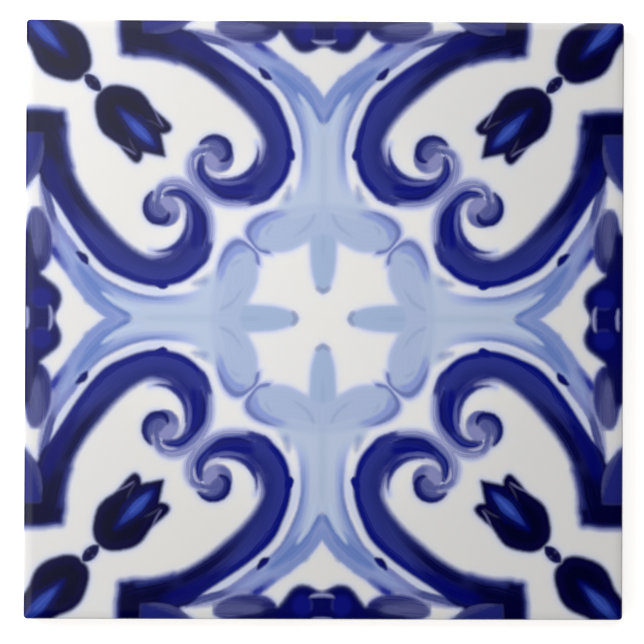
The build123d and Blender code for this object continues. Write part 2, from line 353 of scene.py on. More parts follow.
    Stroke("wedge_sheen", [(122, 12, 1), (134, 11, 2.4), (146, 8, 3.6), (156, 3.6, 3.6), (165, -1.5, 2.5)],
           single("wedge_light", (-1, 0.2), (0.3, 0.8), (1, 0.7)), (4, 3), (10, 2), 0.5),
    Leaf("border_oval", [[(226, -10), (219, -7.2), (212.4, -5), (205.6, -3.2), (199.4, -1.8), (195, 0.4),
           (192.4, 3.8), (192.4, 7), (194.6, 11), (199.4, 15.2), (206, 18.6), (214, 21), (223, 22.2),
           (232, 22.2), (240, 21), (246.5, 18.4), (251, 15), (254, 11), (256, 6), (258, -10)], [(258, -10),
           (226, -10)]],
         [(-1, "oval_rim", 0.9), (-0.5, "oval_low", 1.0), (0.3, "oval", 1.0), (1, "oval_grey", 1.0)], 13,
         edge=4.6, hairs=0.2),
    Stroke("oval_streaks", [(189, 7, 6), (199, 8, 7.4), (210, 8.6, 8), (222, 8.6, 7), (238, 8.4, 4)],
           [(-1, "oval_grey", 0.5), (-0.4, "oval_light", 0.8), (0, "oval_grey", 0.7), (0.5, "oval_light", 0.6),
            (1, "oval_grey", 0.4)], (4, 5), (2, 36), 0.5),
    Stroke("oval_dark", [(234, 5, 5), (243, 7, 7), (251, 6.5, 6.5)],
           [(-1, "border_navy", 0.85), (1, "oval_navy", 0.9)], (6, 4), (12, 0), 0.4),
    Stroke("border_band", [(209, -3.2, 1.6), (217, -3.6, 4), (226, -4.6, 6.6), (238, -4, 8.2), (250, -1.5, 9),
            (262, -1, 9.5), (280, -1, 10), (312, -1, 10)],
           single("border_navy", (-1, 1.0), (0.6, 1.0), (1, 0.8)), (3, 4.5), (10, 0), 0.15),
    Leaf("border_blob", [[(248, -10), (252.4, 5), (255.8, 10.2), (260, 15.4), (264, 20.8), (268, 26), (273, 30),
           (279, 31.6), (285.2, 30.8), (290.4, 28), (295, 24.2), (302, 21.2)], [(302, 21.2), (302, -10)],
          [(302, -10), (248, -10)]], [(-1, "border_navy", 0.95), (0, "blob", 1.0), (1, "blob", 1.0)], 8,
         edge=6.0),
    Stroke("blob_fold", [(283, 29, 0.8), (289, 27.4, 1.4), (295, 25.6, 1.6), (302, 25, 1.6)],
           [(-1, "border_navy", 0.7), (1, "disc", 0.6)], (3.6, 3.6), (8, 0), 0.1),
    Stroke("blob_strip",
           [(284.6, 18, 0.6), (288.4, 20.4, 1.5), (293, 21.6, 2.0), (298.5, 22, 2.2), (303, 21.8, 2.2)],
           [(-1, "strip", 0.85), (0.2, "strip_light", 0.85), (1, "strip", 0.7)], (3.4, 3.4), (5, 0)),
    Stroke("edge_strip", [(286.4, -4.4, 0.6), (289, -2.8, 1.4), (294, -2.2, 1.9), (302, -2, 2)],
           [(-1, "strip", 0.85), (0, "strip_light", 0.95), (1, "strip", 0.7)], (3, 3), (5, 0)),
    Leaf("blob_disc", [[(268.6, 11), (270.6, 5), (276, 0.5), (282, 0.5), (287, 4.5), (288.8, 10.5), (288, 16.5),
           (284.4, 21), (278, 22.6), (272.5, 20), (269.4, 16), (268.6, 11)]], even("disc", 0.4, 1.0, 1.0), 6,
         edge=4.5),
    Stroke("disc_arc", [(286.6, 4, 0.6), (288.6, 10, 1.0), (288.2, 16, 1.0), (285.2, 21, 0.6)],
           even("disc_rim", 0.35, 0.35), (3.4, 3.4), (4, 3)),
]
# The strokes whose wet colour bleeds into the white glaze round them
BLEEDING = (
    "scroll", "scroll_root", "scroll_haze", "scroll_tip", "corner_tulip", "inner_tulip", "bead", "eye_comma",
    "frond_high", "frond_low", "strand_indigo", "bulb", "bulb_rim", "middle_petal", "dash_royal", "border_oval",
    "border_blob", "border_band", "border_wedge", "inner_thread", "oblong_navy",
)

# The blues of the brush and the whites between them, 0 to 255
PALETTE = {
    "night": (1, 1, 54), "deep_navy": (14, 15, 82), "shade_navy": (2, 3, 66), "royal_edge": (16, 22, 104),
    "gap_ice": (208, 216, 240), "dash_mist": (188, 192, 236), "royal_dark": (8, 10, 84), "royal": (3, 5, 108),
    "royal_blue": (8, 14, 122), "royal_light": (48, 54, 146), "rim_royal": (10, 20, 126),
    "cobalt": (24, 30, 122), "ink_blue": (36, 44, 122), "bend_light": (46, 54, 142),
    "bend_blue": (42, 50, 132), "indigo": (52, 58, 132), "slate": (92, 100, 166), "bristle": (62, 68, 142),
    "strand_blue": (64, 72, 144), "strand_lilac": (140, 146, 200), "strand_pale": (124, 132, 196),
    "thread": (104, 110, 182), "haze": (134, 140, 192), "haze_deep": (110, 118, 180), "mist": (172, 175, 212),
    "ice": (206, 208, 238), "lilac": (140, 143, 194), "lilac_light": (144, 148, 200),
    "swirl_slate": (74, 81, 148), "eye_slate": (60, 67, 138), "comma_dark": (16, 18, 98),
    "comma_blue": (20, 26, 112), "stem": (186, 199, 224), "stem_deep": (170, 188, 214),
    "stem_light": (192, 206, 232), "wash": (142, 158, 212), "wash_light": (156, 172, 220),
    "wash_dull": (120, 138, 198), "frond_blue": (134, 154, 212), "pale": (172, 187, 219),
    "petal": (163, 183, 216), "glow_blue": (130, 146, 214), "periwinkle_dull": (122, 134, 200),
    "sky": (106, 132, 200), "sky_light": (124, 146, 208), "apex_blue": (98, 118, 186),
    "gap_blue": (176, 194, 228), "fold_blue": (126, 144, 192), "curl_blue": (144, 160, 198),
    "rim_blue": (90, 104, 174), "dusk_blue": (112, 128, 196), "rim_grey": (118, 132, 172),
    "rim_line": (104, 118, 182), "dash_blue": (38, 46, 156), "dash_light": (92, 106, 188),
    "tulip_dark": (1, 1, 42), "tulip_blue": (6, 3, 60), "bead_rim": (30, 30, 90), "flame_blue": (2, 6, 112),
    "flame": (50, 76, 184), "flame_core": (70, 100, 200), "petal_line": (128, 128, 186),
    "petal_line_dim": (84, 84, 132), "wedge": (32, 38, 124), "wedge_line": (60, 62, 130),
    "wedge_light": (72, 76, 136), "oval": (60, 63, 124), "oval_grey": (84, 88, 144),
    "oval_light": (106, 109, 162), "oval_low": (46, 49, 122), "oval_rim": (64, 70, 146),
    "oval_navy": (34, 38, 112), "border_navy": (10, 12, 84), "blob": (6, 8, 92), "disc": (14, 18, 126),
    "disc_rim": (56, 60, 142), "strip": (104, 110, 172), "strip_light": (160, 164, 210),
}


BLACK = (0, 0, 0, 1)
WHITE = (1, 1, 1, 1)


def linear(shade):
    """A 0 to 255 screen shade as the linear colour that a shader takes."""
    levels = [level / 255 for level in shade]
    return tuple(level / 12.92 if level <= 0.04045 else ((level + 0.055) / 1.055) ** 2.4 for level in levels)


# The cartoon's folds


def drawn(near, far):
    """Where the cartoon draws what the transfer puts so far from its middle line and its middle."""
    near = near - SIDE_SLACK * (1 - np.exp(-near / SIDE_SLACK_RUN))
    return CARTOON_MIDDLE[0] - near, CARTOON_MIDDLE[1] - TALL_STRETCH * far - END_SLACK


def folded(x, y):
    """The place in the drawn eighth of the cartoon that each place on the tile (mm) mirrors."""
    across = np.abs(x / UNIT - TRANSFER_PLACE[0])
    up = np.abs(y / UNIT - TRANSFER_PLACE[1]) / TALL_STRETCH
    return drawn(np.minimum(across, up), np.maximum(across, up))


def mirrored(points):
    """Cartoon points mirrored in the pattern's diagonal."""
    points = np.asarray(points, float)
    near = CARTOON_MIDDLE[0] - points[:, 0] + SIDE_SLACK
    far = (CARTOON_MIDDLE[1] - points[:, 1] - END_SLACK) / TALL_STRETCH
    return np.stack(drawn(far, near), 1)


# Where each point of the glaze lies in each stroke


# How many points are measured against a curve at a time
CHUNK = 8000
# The least half width of a stroke, and how far to its side, in half widths, a point is still told apart
SLIMMEST = 0.05
FARTHEST_ACROSS = 4
# How far from a stroke its field is worked out, and how far it must cover to own the brush hairs
FIELD_MARGIN = 22
OWNING_COVER = 0.4


def smooth_run(points):
    """A smooth curve through the points, sampled about once a unit."""
    points = np.asarray(points, float)
    if len(points) == 2:
        count = max(2, int(np.hypot(*(points[1] - points[0])[:2])))
        steps = np.linspace(0, 1, count)[:, None]
        return points[0] * (1 - steps) + points[1] * steps
    padded = np.vstack([2 * points[0] - points[1], points, 2 * points[-1] - points[-2]])
    out = []
    for before, start, end, after in zip(padded, padded[1:], padded[2:], padded[3:]):
        count = max(2, int(np.hypot(*(end - start)[:2])))
        t = (np.arange(count) / count)[:, None]
        out.append(
            0.5 * (2 * start + (end - before) * t + (2 * before - 5 * start + 4 * end - after) * t ** 2
                   + (3 * start - 3 * end + after - before) * t ** 3)
        )
    out.append(points[-1][None])
    return np.vstack(out)


def nearest_on(curve, x, y):
    """For each point, the nearest segment of the curve, the fraction along it, and the offset from it."""
    cx, cy = curve[:, 0].astype(np.float32), curve[:, 1].astype(np.float32)
    nearest = np.empty(len(x), int)
    for first in range(0, len(x), CHUNK):
        rows = slice(first, first + CHUNK)
        gap = (x[rows, None].astype(np.float32) - cx) ** 2 + (y[rows, None].astype(np.float32) - cy) ** 2
        nearest[rows] = gap.argmin(1)
    best = None
    for step in (-1, 0):
        index = np.clip(nearest + step, 0, len(curve) - 2)
        start, end = curve[index, :2], curve[index + 1, :2]
        run = end - start
        length = np.maximum(np.hypot(run[:, 0], run[:, 1]), 1e-9)
        raw = ((x - start[:, 0]) * run[:, 0] + (y - start[:, 1]) * run[:, 1]) / length ** 2
        held = np.clip(raw, 0, 1)
        off_x, off_y = x - start[:, 0] - run[:, 0] * held, y - start[:, 1] - run[:, 1] * held
        gap = np.hypot(off_x, off_y)
        side = (run[:, 0] * (y - start[:, 1]) - run[:, 1] * (x - start[:, 0])) / length
        found = np.stack([index, raw, held, gap, side, length], 1)
        if best is None:
            best = found
        else:
            better = gap < best[:, 3]
            best[better] = found[better]
    return best


def stroke_field(stroke, x, y):
    """Across the stroke (-1 to 1), its fade at either end, and depth inside its edge in cartoon units."""
    curve = smooth_run(stroke.spine)
    steps = np.hypot(*np.diff(curve[:, :2], axis=0).T)
    travelled = np.concatenate([[0], np.cumsum(steps)])
    index, raw, held, gap, side, length = nearest_on(curve, x, y).T
    index = index.astype(int)
    width = np.maximum(curve[index, 2] * (1 - held) + curve[index + 1, 2] * held, SLIMMEST)
    past = np.where((index == 0) & (raw < 0), -raw * length, 0)
    past = np.where((index == len(curve) - 2) & (raw > 1), (raw - 1) * length, past)
    beside = np.where(past > 0, np.abs(side), gap)
    along = travelled[index] + held * length + np.where(raw < 0, -past, past)
    depth = np.where(past > 0, -np.hypot(past, np.maximum(beside - width, 0)), width - beside)
    fade = np.ones(len(x))
    for fade_run, from_end in zip(stroke.fade, (along, float(travelled[-1]) - along)):
        if fade_run:
            fade = fade * eased(from_end / fade_run)
    return np.clip(np.sign(side) * beside / width, -FARTHEST_ACROSS, FARTHEST_ACROSS), fade, depth


def leaf_field(leaf, x, y):
    """The same for a closed shape, whose across goes from -1 at its rim to 1 at its reach, with no fade."""
    outline = np.vstack([smooth_run(run)[:-1] for run in leaf.runs])
    if leaf.mirrored:
        outline = np.vstack([outline, mirrored(outline)[::-1]])
    outline = np.vstack([outline, outline[:1]])
    gap = nearest_on(outline, x, y)[:, 3]
    inside = np.zeros(len(x), bool)
    for (x0, y0), (x1, y1) in zip(outline, outline[1:]):
        if y0 != y1:
            crosses = (y0 > y) != (y1 > y)
            inside ^= crosses & (x < (x1 - x0) * (y - y0) / (y1 - y0) + x0)
    depth = np.where(inside, gap, -gap)
    return np.clip(2 * depth / leaf.reach - 1, -1, FARTHEST_ACROSS), np.ones(len(x)), depth


def eased(value):
    """0 below 0, 1 above 1, and a smooth step between."""
    value = np.clip(value, 0, 1)
    return value * value * (3 - 2 * value)


def point_values(mesh, name, values):
    """Stores one number or three on every point of the mesh."""
    kind, slot = ("FLOAT_VECTOR", "vector") if values.ndim == 2 else ("FLOAT", "value")
    mesh.attributes.new(name, kind, "POINT").data.foreach_set(slot, values.astype(np.float32).ravel())


def paint_fields(mesh, x, y, painted):
    """Stores each stroke's field on the mesh, the topmost stroke's own run, and the depth of wet colour."""
    x, y = folded(x, y)
    bleed = np.full(len(x), FAR_AWAY)
    hairs = np.zeros((len(x), 3))
    for number, stroke in enumerate(STROKES):
        if isinstance(stroke, Leaf):
            outline = np.vstack([np.asarray(run, float) for run in stroke.runs])
            margin = FIELD_MARGIN
            if stroke.mirrored:
                outline = np.vstack([outline, mirrored(outline)])
            field_of = leaf_field
        else:
            outline = np.asarray(stroke.spine)
            margin = FIELD_MARGIN + outline[:, 2].max()
            field_of = stroke_field
        near = painted & (x > outline[:, 0].min() - margin) & (x < outline[:, 0].max() + margin)
        near &= (y > outline[:, 1].min() - margin) & (y < outline[:, 1].max() + margin)
        across, fade, depth = field_of(stroke, x[near], y[near])
        left, right = stroke.edge
        softness = left + (right - left) * eased(across * 2 + 0.5)
        field = np.tile([0.0, 0.0, FAR_AWAY], (len(x), 1))
        field[near] = np.stack([across / 2 + 0.5, fade, np.clip(depth / softness, FAR_AWAY, -FAR_AWAY)], 1)
        point_values(mesh, stroke.name, field)
        top = np.flatnonzero(near)[(depth > 0) & (fade > OWNING_COVER)]
        hairs[top] = field[top] * (1, 0, 0) + (0, 0, number)
        if stroke.name in BLEEDING:
            bleed[near] = np.maximum(bleed[near], depth)
    point_values(mesh, "bleed", bleed)
    point_values(mesh, "hairs", hairs)
    return bleed


# Node helpers and the groups that the materials share


def fresh_tree(material):
    """The material's node tree, emptied."""
    material.use_nodes = True
    material.node_tree.nodes.clear()
    return material.node_tree


def add(tree, kind, place=(0, 0), inputs=None, **settings):
    """A node of that kind, with its settings and its inputs, each a value or a socket to link."""
    node = tree.nodes.new(kind)
    node.location = place
    for name, value in settings.items():
        setattr(node, name, value)
    for name, value in (inputs or {}).items():
        socket = node.inputs[name]
        if isinstance(value, bpy.types.NodeSocket):
            tree.links.new(value, socket)
        else:
            socket.default_value = value
    return node


def maths(tree, operation, *values, place=(0, 0)):
    """The result socket of a maths node."""
    return add(tree, "ShaderNodeMath", place, dict(enumerate(values)), operation=operation).outputs[0]


def shade_of(colour):
    """A colour setting or linear colour as the four numbers that a socket takes."""
    return (*colour, 1)


def spread(tree, value, low, high, to_low=0.0, to_high=1.0, place=(0, 0)):
    """The value eased from one range into another, and held to it."""
    node = add(
        tree, "ShaderNodeMapRange", place,
        {"Value": value, "From Min": low, "From Max": high, "To Min": to_low, "To Max": to_high},
        interpolation_type="SMOOTHSTEP", clamp=False,
    )
    return node.outputs["Result"]


def blend_colour(tree, factor, under, over, place=(0, 0), clamped=True):
    """The colour between two others."""
    node = add(tree, "ShaderNodeMix", place, data_type="RGBA", clamp_factor=clamped)
    for index, value in ((0, factor), (6, under), (7, over)):
        if isinstance(value, bpy.types.NodeSocket):
            tree.links.new(value, node.inputs[index])
        else:
            node.inputs[index].default_value = value
    return node.outputs[2]


def colour_ramp(tree, factor, stops, place=(0, 0)):
    """A colour ramp through (position, linear colour with alpha) stops."""
    node = add(tree, "ShaderNodeValToRGB", place, {"Fac": factor})
    ramp = node.color_ramp
    ramp.elements[0].position, ramp.elements[0].color = stops[0]
    ramp.elements[1].position, ramp.elements[1].color = stops[-1]
    for position, colour in stops[1:-1]:
        element = ramp.elements.new(position)
        element.color = colour
    return node


def new_group(name, inputs, outputs):
    """A shader node group with named sockets, and its input and output nodes."""
    group = bpy.data.node_groups.new(name, "ShaderNodeTree")
    for label, kind, default in inputs:
        socket = group.interface.new_socket(label, in_out="INPUT", socket_type=kind)
        if default is not None:
            socket.default_value = default
    for label, kind in outputs:
        group.interface.new_socket(label, in_out="OUTPUT", socket_type=kind)
    return group, group.nodes.new("NodeGroupInput"), group.nodes.new("NodeGroupOutput")


CLOUD_SPAN = (0.3, 0.7)
PIT_SPAN = (0.0, 0.22)
SLOW_SCALE = 140.0
SLOW_WANDER = 3.0
# How fast each set of brush hairs runs across a stroke, and its share of the streaks
HAIR_SETS = ((2.3, 0.35), (5.9, 0.3), (12.7, 0.2), (23.9, 0.15))


def mottling_group():
    """Cloudy and fine variation, as a kiln leaves it in clay and glaze alike."""
    group, given, result = new_group(
        "Kiln mottling",
        [
            ("Cloud size", "NodeSocketFloat", 40.0), ("Grain size", "NodeSocketFloat", 900.0),
            ("Seed", "NodeSocketFloat", 0.0),
        ],
        [("Cloud", "NodeSocketFloat"), ("Grain", "NodeSocketFloat"), ("Pits", "NodeSocketFloat")],
    )
    where = add(group, "ShaderNodeTexCoord", (-800, 0)).outputs["Object"]
    seed = given.outputs["Seed"]
    cloud = add(
        group, "ShaderNodeTexNoise", (-400, 200),
        {"Vector": where, "W": seed, "Scale": given.outputs["Cloud size"], "Detail": 4.0, "Roughness": 0.6},
        noise_dimensions="4D",
    )
    grain = add(
        group, "ShaderNodeTexNoise", (-400, 0),
        {"Vector": where, "W": seed, "Scale": given.outputs["Grain size"], "Detail": 2.0, "Roughness": 0.5},
        noise_dimensions="4D",
    )
    pits = add(
        group, "ShaderNodeTexVoronoi", (-400, -200), {"Vector": where, "Scale": given.outputs["Grain size"]}
    )
    group.links.new(spread(group, cloud.outputs["Fac"], *CLOUD_SPAN, place=(-150, 200)), result.inputs["Cloud"])
    group.links.new(grain.outputs["Fac"], result.inputs["Grain"])
    group.links.new(
        spread(group, pits.outputs["Distance"], *PIT_SPAN, place=(-150, -200)), result.inputs["Pits"]
    )
    return group


def hairs_group():
    """Streaks that run along a stroke, as the brush's hairs leave them, from -1 to 1."""
    group, given, result = new_group(
        "Brush hairs",
        [("Stroke", "NodeSocketColor", None), ("Count", "NodeSocketFloat", 7.0)],
        [("Hair", "NodeSocketFloat")],
    )
    parts = add(group, "ShaderNodeSeparateColor", (-800, 0), {0: given.outputs["Stroke"]}).outputs
    place = add(group, "ShaderNodeTexCoord", (-1000, -300)).outputs["Object"]
    slow = {"Vector": place, "Scale": SLOW_SCALE, "Detail": 2.0}
    slow = add(group, "ShaderNodeTexNoise", (-800, -300), slow).outputs["Fac"]
    lane = maths(group, "MULTIPLY_ADD", parts[0], given.outputs["Count"], parts[2], place=(-600, 100))
    lane = maths(group, "MULTIPLY_ADD", slow, SLOW_WANDER, lane, place=(-400, 100))
    hair = 0.0
    for pace, share in HAIR_SETS:
        wave = maths(group, "SINE", maths(group, "MULTIPLY", lane, pace))
        hair = maths(group, "MULTIPLY_ADD", wave, share, hair)
    group.links.new(hair, result.inputs["Hair"])
    return group


def across_group():
    """Where a point lies across a stroke, 0 to 1, let wander by the brush's hairs."""
    group, given, result = new_group(
        "Across the stroke",
        [
            ("Stroke", "NodeSocketColor", None), ("Hair", "NodeSocketFloat", 0.0),
            ("Wander", "NodeSocketFloat", 0.06),
        ],
        [("Across", "NodeSocketFloat")],
    )
    parts = add(group, "ShaderNodeSeparateColor", (-300, 0), {0: given.outputs["Stroke"]}).outputs
    across = maths(group, "MULTIPLY_ADD", given.outputs["Hair"], given.outputs["Wander"], parts[0])
    group.links.new(across, result.inputs["Across"])
    return group


def paint_group():
    """Lays one stroke's colour over what is already painted, ragged and faded as the stroke is."""
    group, given, result = new_group(
        "Lay paint",
        [
            ("Below", "NodeSocketColor", None), ("Paint", "NodeSocketColor", None),
            ("Opacity", "NodeSocketFloat", 1.0), ("Stroke", "NodeSocketColor", None),
            ("Tremor", "NodeSocketFloat", 0.0), ("Ragged", "NodeSocketFloat", 0.5),
        ],
        [("Painted", "NodeSocketColor")],
    )
    g = given.outputs
    parts = add(group, "ShaderNodeSeparateColor", (-600, 0), {0: g["Stroke"]}).outputs
    depth = maths(group, "MULTIPLY_ADD", g["Tremor"], g["Ragged"], parts[2], place=(-400, -200))
    mask = spread(group, depth, -0.5, 0.5, place=(-200, -200))
    # Thin colour at the edge of a stroke darkens the white faster than it covers it
    steeper = maths(group, "SUBTRACT", 2.0, mask, place=(-100, -350))
    mask = maths(group, "MULTIPLY", mask, steeper, place=(-50, -200))
    mask = maths(group, "MULTIPLY", mask, parts[1], place=(0, -200))
    mask = maths(group, "MULTIPLY", mask, g["Opacity"], place=(200, -200))
    group.links.new(blend_colour(group, mask, g["Below"], g["Paint"], (400, 0)), result.inputs["Painted"])
    return group


# Near and far distance from the middle in metres, and how much lighter the colour is painted inside the near
# one: a painted pool of light over the tile's middle
PAINTED_LIGHT_MIDDLE = (0.032, 0.062, 1.11)
TREMOR_SCALE = 900.0
STREAK_DEPTH = 2.0
STREAK = 0.035
# How wide a stroke's edge trembles at most, in cartoon units, for a raggedness of one
TREMBLE = 3
NODE_GAP = 300


def lay_strokes(tree, ground, strength):
    """Paints every stroke over the ground colour, in order, adds the brush streaks and a painted pool of light
    in the middle, and gives the last colour.
    """
    across, lay = across_group(), paint_group()
    brush = add(tree, "ShaderNodeAttribute", (-900, -700), attribute_name="hairs").outputs["Color"]
    hair = add(tree, "ShaderNodeGroup", (-700, -700), {0: brush}, node_tree=hairs_group()).outputs["Hair"]
    place_on_tile = add(tree, "ShaderNodeTexCoord", (-900, -900)).outputs["Object"]
    grain = {"Vector": place_on_tile, "Scale": TREMOR_SCALE, "Detail": 2.0}
    tremor = add(tree, "ShaderNodeTexNoise", (-700, -900), grain).outputs["Fac"]
    tremor = maths(tree, "SUBTRACT", tremor, 0.5, place=(-500, -900))
    painted = ground
    for number, stroke in enumerate(STROKES):
        left = NODE_GAP * number
        field = add(tree, "ShaderNodeAttribute", (left, -600), attribute_name=stroke.name).outputs["Color"]
        wander = add(
            tree, "ShaderNodeGroup", (left, -400),
            {"Stroke": field, "Hair": hair, "Wander": stroke.hairs}, node_tree=across,
        )
        stops = [
            ((place + 1) / 2, (*linear(PALETTE[paint]), cover * strength))
            for place, paint, cover in stroke.paint
        ]
        ramp = colour_ramp(tree, wander.outputs["Across"], stops, (left, -200))
        painted = add(
            tree, "ShaderNodeGroup", (left, 0),
            {
                "Below": painted, "Paint": ramp.outputs["Color"], "Opacity": ramp.outputs["Alpha"],
                "Stroke": field, "Tremor": tremor, "Ragged": TREMBLE * stroke.ragged / max(stroke.edge),
            },
            node_tree=lay,
        ).outputs["Painted"]
    left += NODE_GAP
    wet = add(tree, "ShaderNodeAttribute", (left, -600), attribute_name="bleed").outputs["Fac"]
    streak = spread(tree, wet, 0.0, STREAK_DEPTH, 0.0, STREAK, place=(left, -400))
    # Painted light: the middle of the tile is painted lighter than its sides, a pool of light laid into the
    # colour
    reach = add(tree, "ShaderNodeVectorMath", (left, -900), {0: place_on_tile}, operation="LENGTH")
    shade = spread(tree, reach.outputs["Value"], *PAINTED_LIGHT_MIDDLE, 1.0, place=(left + 200, -900))
    # The brush streaks are added to the painted light's factor, which then scales the colour
    shade = maths(tree, "MULTIPLY_ADD", hair, streak, shade, place=(left + 200, -400))
    return blend_colour(tree, shade, BLACK, painted, (left + 400, 0), clamped=False)


# Settings


def colour_setting(name, description, shade):
    """A colour that the panel offers, given as a 0 to 255 shade."""
    return FloatVectorProperty(
        name=name, description=description, subtype="COLOR", min=0, max=1, default=linear(shade)
    )


def length_setting(name, description, length):
    """A length that the panel offers, given in millimetres."""
    return FloatProperty(name=name, description=description, unit="LENGTH", min=0, default=length * MM)


class TileBodySettings(bpy.types.PropertyGroup):
    """The fired body's finish."""

    clay: colour_setting("Clay", "Colour of the fired body", (214, 186, 150))
    clay_dark: colour_setting("Clay clouds", "Darker clouds in the body", (188, 152, 116))
    # Painted shade: the pits, the hollows that the bump sinks into the body, take this darker colour
    pit_shade: colour_setting("Clay pits", "Colour of the pits in the body", (150, 112, 80))


class TileGlazeSettings(bpy.types.PropertyGroup):
    """The tin glaze and its painting."""

    white: colour_setting("Tin white", "Colour of the bare glaze", (236, 235, 231))
    thickness: length_setting("Thickness", "How far the glaze stands off the body", 0.05)
    run_down: length_setting("Run down the edge", "How far below the face the glaze reaches", 2.6)
    unevenness: length_setting("Unevenness", "How far the glaze's surface rises and falls", 0.010)
    blue_strength: FloatProperty(
        name="Blue strength", description="How strongly the brushwork covers the white",
        subtype="FACTOR", min=0, max=1, default=1.0,
    )


class TileStageSettings(bpy.types.PropertyGroup):
    """The floor and the light."""

    floor: FloatVectorProperty(
        name="Floor", description="Colour of the floor", subtype="COLOR", min=0, max=1, default=(0.8, 0.8, 0.8)
    )
    key_power: FloatProperty(
        name="Key lamp", description="Power of the soft lamp at the upper left", min=0, default=1.65,
        unit="POWER",
    )
    softbox: FloatProperty(
        name="Softbox", description="Brightness of the softbox at the upper left", min=0, default=1.12
    )


# The fired body


BODY_CLOUDS = 55.0
BODY_GRAIN = 1500.0
# How much of the darker colour the pits take at most, painted shade in the bump's hollows
PIT_SHADE_COVER = 0.55
BODY_ROUGHNESS = (0.78, 0.95)


class TILE_OT_fire_body(bpy.types.Operator):
    """Gives the pressed body its matt biscuit finish"""

    bl_idname = "tile.fire_body"
    bl_label = "Fire the body"

    def execute(self, context):
        settings = context.scene.tile_body
        material = bpy.data.materials.new("biscuit")
        tree = fresh_tree(material)
        kiln = add(tree, "ShaderNodeGroup", (-800, 0), node_tree=mottling_group())
        kiln.inputs["Cloud size"].default_value = BODY_CLOUDS
        kiln.inputs["Grain size"].default_value = BODY_GRAIN
        clay, clouds, pits = shade_of(settings.clay), shade_of(settings.clay_dark), shade_of(settings.pit_shade)
        colour = blend_colour(tree, kiln.outputs["Cloud"], clay, clouds, (-500, 200))
        # Painted shade: the pits, which the bump sinks lowest, are coloured darker than the clay
        pit_shading = spread(tree, kiln.outputs["Pits"], 0.0, 1.0, PIT_SHADE_COVER, 0.0, place=(-500, 0))
        colour = blend_colour(tree, pit_shading, colour, pits, (-300, 200))
        roughness = spread(tree, kiln.outputs["Grain"], *CLOUD_SPAN, *BODY_ROUGHNESS, place=(-300, 0))
        height = maths(tree, "ADD", kiln.outputs["Pits"], kiln.outputs["Grain"], place=(-500, -300))
        bump = {"Height": height, "Strength": 0.6, "Distance": 0.12 * MM}
        bump = add(tree, "ShaderNodeBump", (-250, -300), bump)
        shader = add(
            tree, "ShaderNodeBsdfPrincipled", (0, 0),
            {"Base Color": colour, "Roughness": roughness, "Normal": bump.outputs["Normal"]},
        )
        add(tree, "ShaderNodeOutputMaterial", (300, 0), {"Surface": shader.outputs[0]})
        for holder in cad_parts["tile"].material_slots:
            holder.material = material
        return {"FINISHED"}


# The glaze coat

# The face's grid cell in cartoon units, and how its border is drawn round the corners
GRID_CELL = 2.12
GRID_REACH = 160
CORNER_CELLS = 8
CORNER_EASE = 1.7
# The lip's rings, as shares of the way down the edge, and how far the lip waves up and down in mm
LIP_RINGS = (0.4, 0.75, 0.93)
LIP_WAVE = 0.35
LIP_WAVE_FROM = 1.2
LIP_WAVE_RUN = 1.4
INNER_DEPTH = 0.06
# The share of the UV map that the coat's outside fills. Its inside goes in the corner that is left
UV_FILL = 0.97
UV_EDGE = 0.99
UV_GAP = 0.004
# The waves in the glaze's thickness: turns across and up the face per mm, and where each starts
SWELL_WAVES = ((0.19, 0.07, 0.4), (-0.11, 0.23, 2.1), (0.31, -0.17, 4.0), (0.05, -0.36, 1.2), (0.42, 0.33, 5.1))


def coat_profile(run_down):
    """(inset, height, outward, up) rings in mm, from the flat of the face out and down to the lip."""
    slope = atan2(CUSHION_DROP, CUSHION_WIDTH)
    blend_run = CUSHION_BLEND * tan(slope / 2)
    arris_turn = pi / 2 - slope
    arris_run = ARRIS_RADIUS * tan(arris_turn / 2)
    rings = []
    for part in range(4):
        angle = slope * part / 3
        rings.append((
            CUSHION_WIDTH + blend_run - CUSHION_BLEND * sin(angle),
            THICKNESS - CUSHION_BLEND * (1 - cos(angle)), sin(angle), cos(angle),
        ))
    arris_low = THICKNESS - CUSHION_DROP - arris_run
    arris = []
    for part in range(7):
        angle = slope + arris_turn * part / 6
        inset, height = ARRIS_RADIUS * (1 - sin(angle)), arris_low + ARRIS_RADIUS * cos(angle)
        arris.append((inset, height, sin(angle), cos(angle)))
    middle = [(near + far) / 2 for near, far in zip(rings[-1], arris[0])]
    rings += [tuple(middle)] + arris
    lip = THICKNESS - run_down
    return rings + [(0, arris_low + (lip - arris_low) * part, 1, 0) for part in LIP_RINGS]


def grid_lines(middle, reach, stretch):
    """Grid positions in mm either side of the pattern's middle line, ending at the face's flat."""
    steps = np.arange(0, GRID_REACH) * GRID_CELL * stretch * UNIT
    lines = np.concatenate([middle - steps[:0:-1], middle + steps])
    lines = lines[np.abs(lines) < reach - 0.5 * GRID_CELL * UNIT]
    return np.concatenate([[-reach], lines, [reach]])


def around(lines, reach, inset, radius):
    """Where one side's grid ends go on an outline with that inset and corner radius: along, and out."""
    place = np.abs(lines)
    turn = reach - CORNER_CELLS * GRID_CELL * UNIT
    straight = HALF_SIDE - inset - radius
    fraction = np.clip((place - turn) / (reach - turn), 0, 1)
    travelled = np.where(
        place <= turn, place,
        turn + (straight + radius * pi / 4 - turn) * (1 - (1 - fraction) ** CORNER_EASE),
    )
    angle = np.maximum(travelled - straight, 0) / max(radius, 1e-6)
    along = np.where(travelled > straight, straight + radius * np.sin(angle), travelled)
    out = np.where(travelled > straight, straight + radius * np.cos(angle), straight + radius)
    return np.sign(lines) * along, out


